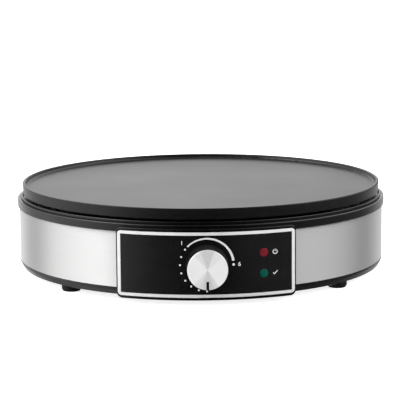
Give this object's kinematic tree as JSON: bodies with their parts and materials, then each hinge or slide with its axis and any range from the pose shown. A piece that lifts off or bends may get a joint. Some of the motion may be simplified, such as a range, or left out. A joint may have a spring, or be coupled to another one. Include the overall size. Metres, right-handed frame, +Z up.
{
  "type": "electric crepe maker",
  "caption": "Countertop crepe maker: round coated hotplate with a low rim on a steel-banded body, front panel with a turning heat knob and signal lamps.",
  "frame": {"origin": "on the surface it stands on, under the middle of its bounding box", "axes": "+Z up, -Y towards the knob and control panel, +X to the right seen from the front"},
  "size_m": [0.3088, 0.3322, 0.0743],
  "materials": {
    "black_gloss": "gloss",
    "black_plastic": "fine satin moulding",
    "brass": "plain",
    "bright_trim": "satin silver",
    "brushed_band": "brushed round the body",
    "ceramic": "matt white ceramic",
    "contact_silver": "silver",
    "element_steel": "heat-stained sheath",
    "green_lens": "translucent green",
    "lamp_glass": "clear",
    "lead_sleeve": "glass-fibre sleeve",
    "lead_sleeve_blue": "glass-fibre sleeve",
    "lead_sleeve_green": "glass-fibre sleeve",
    "plate_coating": "dark non-stick coating, satin",
    "red_lens": "translucent red",
    "rubber": "matt",
    "shield_metal": "aluminised sheet",
    "spun_aluminium": "spun face",
    "white_plastic": "moulded",
    "zinc_steel": "zinc plated"
  },
  "bodies": {
    "body": {"base_shell": "black_plastic", "bimetal_strip": "zinc_steel", "bracket_screws": "zinc_steel", "case_screws": "zinc_steel", "cord_clamp": "black_plastic", "cord_clamp_screws": "zinc_steel", "cord_gland": "black_plastic", "earth_lead": "lead_sleeve_green", "earth_screw": "zinc_steel", "earth_tag": "zinc_steel", "element_clip_screws": "zinc_steel", "element_clips": "zinc_steel", "element_pins": "zinc_steel", "element_seals": "ceramic", "foot_screws": "zinc_steel", "frame_screws": "zinc_steel", "fuse_clip": "zinc_steel", "fuse_crimps": "zinc_steel", "fuse_lead": "lead_sleeve", "fuse_screw": "zinc_steel", "green_lens": "green_lens", "heat_shield": "shield_metal", "heating_element": "element_steel", "hotplate": "plate_coating", "lamp_holder": "white_plastic", "lamp_leads": "lead_sleeve", "live_lead": "lead_sleeve", "lower_contact_spring": "brass", "neon_lamps": "lamp_glass", "neutral_lead": "lead_sleeve_blue", "panel_fascia": "black_gloss", "panel_housing": "black_plastic", "panel_screws": "zinc_steel", "panel_trim": "bright_trim", "plate_screws": "zinc_steel", "plate_spacers": "zinc_steel", "push_on_terminals": "brass", "push_pin": "ceramic", "red_lens": "red_lens", "rubber_feet": "rubber", "stack_rivet": "zinc_steel", "steel_band": "brushed_band", "terminal_block": "white_plastic", "terminal_block_screws": "zinc_steel", "terminal_inserts": "brass", "terminal_screws": "zinc_steel", "thermal_fuse": "zinc_steel", "thermostat_bracket": "zinc_steel", "thermostat_bush": "brass", "thermostat_ceramics": "ceramic", "thermostat_contacts": "contact_silver", "thermostat_frame": "zinc_steel", "thermostat_lead": "lead_sleeve", "upper_contact_spring": "brass", "upper_ring": "black_plastic"},
    "knob": {"knob_body": "black_plastic", "knob_cap": "spun_aluminium", "thermostat_spindle": "zinc_steel", "spindle_tip": "ceramic"}
  },
  "joints": [
    {"name": "knob_turn", "type": "hinge", "parent": "body", "child": "knob", "pos_m": [0, -0.14733, 0.03185], "axis": [0, 1, 0], "range_deg": [0, 270]}
  ]
}
